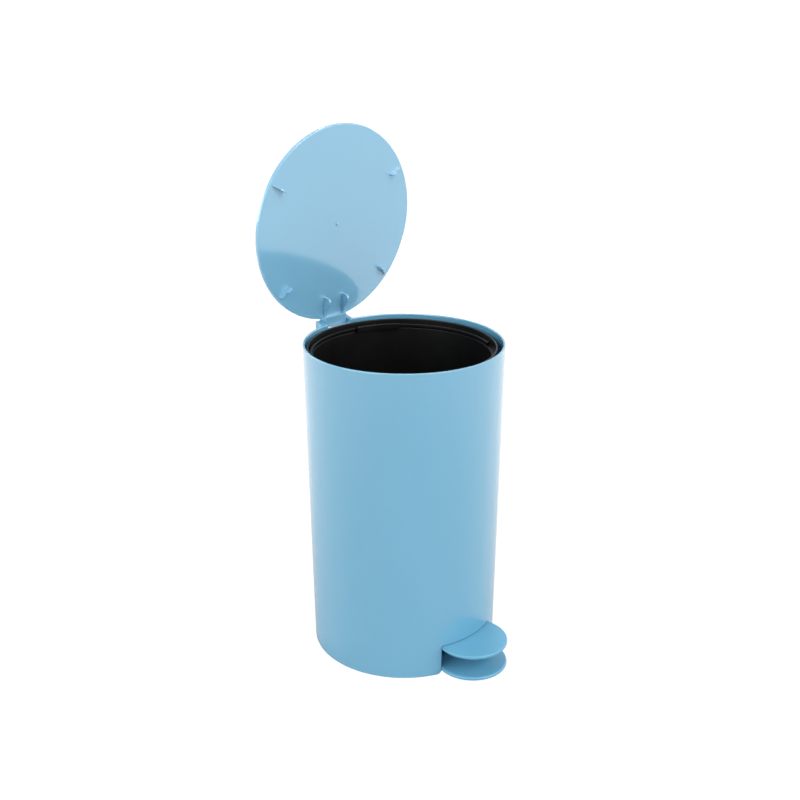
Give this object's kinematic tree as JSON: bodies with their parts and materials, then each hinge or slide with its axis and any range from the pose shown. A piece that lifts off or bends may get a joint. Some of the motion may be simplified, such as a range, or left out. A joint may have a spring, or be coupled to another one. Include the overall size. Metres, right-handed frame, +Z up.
{
  "type": "pedal trash can",
  "caption": "Small round plastic pedal bin with a flat hinged lid, a loose black inner bucket with a bail handle, and a foot pedal that lifts the lid through a strip at the back.",
  "frame": {"origin": "centre of the bin's flat underside, on the floor", "axes": "+Z up, -Y towards the pedal, lid hinge at +Y, +X to the right when seen from the pedal"},
  "size_m": [0.1672, 0.2037, 0.4392],
  "materials": {
    "shell_plastic": "satin pastel blue, moulded through",
    "lid_plastic": "satin pastel blue, smooth underside",
    "pedal_plastic": "satin pastel blue",
    "bucket_plastic": "black, slightly shiny",
    "bail_plastic": "black, slightly shiny",
    "plated_steel": "zinc plated",
    "galvanised_strip": "galvanised",
    "guide_plastic": "natural white"
  },
  "bodies": {
    "body": {"outer_body": "shell_plastic", "rear_cover": "shell_plastic", "base_plate": "shell_plastic", "base_screw_1": "plated_steel", "base_screw_2": "plated_steel", "base_screw_3": "plated_steel", "base_screw_4": "plated_steel", "hinge_pin_left": "lid_plastic", "hinge_pin_right": "lid_plastic", "pedal_axle": "plated_steel", "axle_clip_left": "plated_steel", "axle_clip_right": "plated_steel", "strip_guide_upper": "guide_plastic", "strip_guide_lower": "guide_plastic"},
    "lid": {"lid": "lid_plastic"},
    "pedal": {"pedal": "pedal_plastic"},
    "push_strip": {"push_strip": "galvanised_strip", "strip_shoe": "guide_plastic"},
    "tray": {"bucket_seat": "bucket_plastic"},
    "bucket": {"inner_bucket": "bucket_plastic"},
    "bail": {"bail_handle": "bail_plastic"}
  },
  "joints": [
    {"name": "lid_hinge", "type": "hinge", "parent": "body", "child": "lid", "pos_m": [0, 0.0868, 0.2692], "axis": [-1, 0, 0], "range_deg": [-84.6, 5]},
    {"name": "pedal_press", "type": "hinge", "parent": "body", "child": "pedal", "pos_m": [0, 0.045, 0.015], "axis": [1, 0, 0], "range_deg": [0, 6.1]},
    {"name": "push_strip_lift", "type": "slide", "parent": "body", "child": "push_strip", "axis": [0, 0, 1], "range_m": [0, 0.0042]},
    {"name": "bucket_turn", "type": "hinge", "parent": "body", "child": "tray", "pos_m": [0, 0, 0.034], "axis": [0, 0, 1], "continuous": true},
    {"name": "bucket_lift", "type": "slide", "parent": "tray", "child": "bucket", "axis": [0, -0.0523, 0.9986], "range_m": [0, 0.24]},
    {"name": "bail_swing", "type": "hinge", "parent": "bucket", "child": "bail", "pos_m": [-0.0011, 0.0011, 0.262], "axis": [0.891, -0.454, 0], "range_deg": [0, 180]}
  ],
  "couplings": [
    {"joint": "push_strip_lift", "follows": "pedal_press", "m_per_rad": 0.0386}
  ]
}
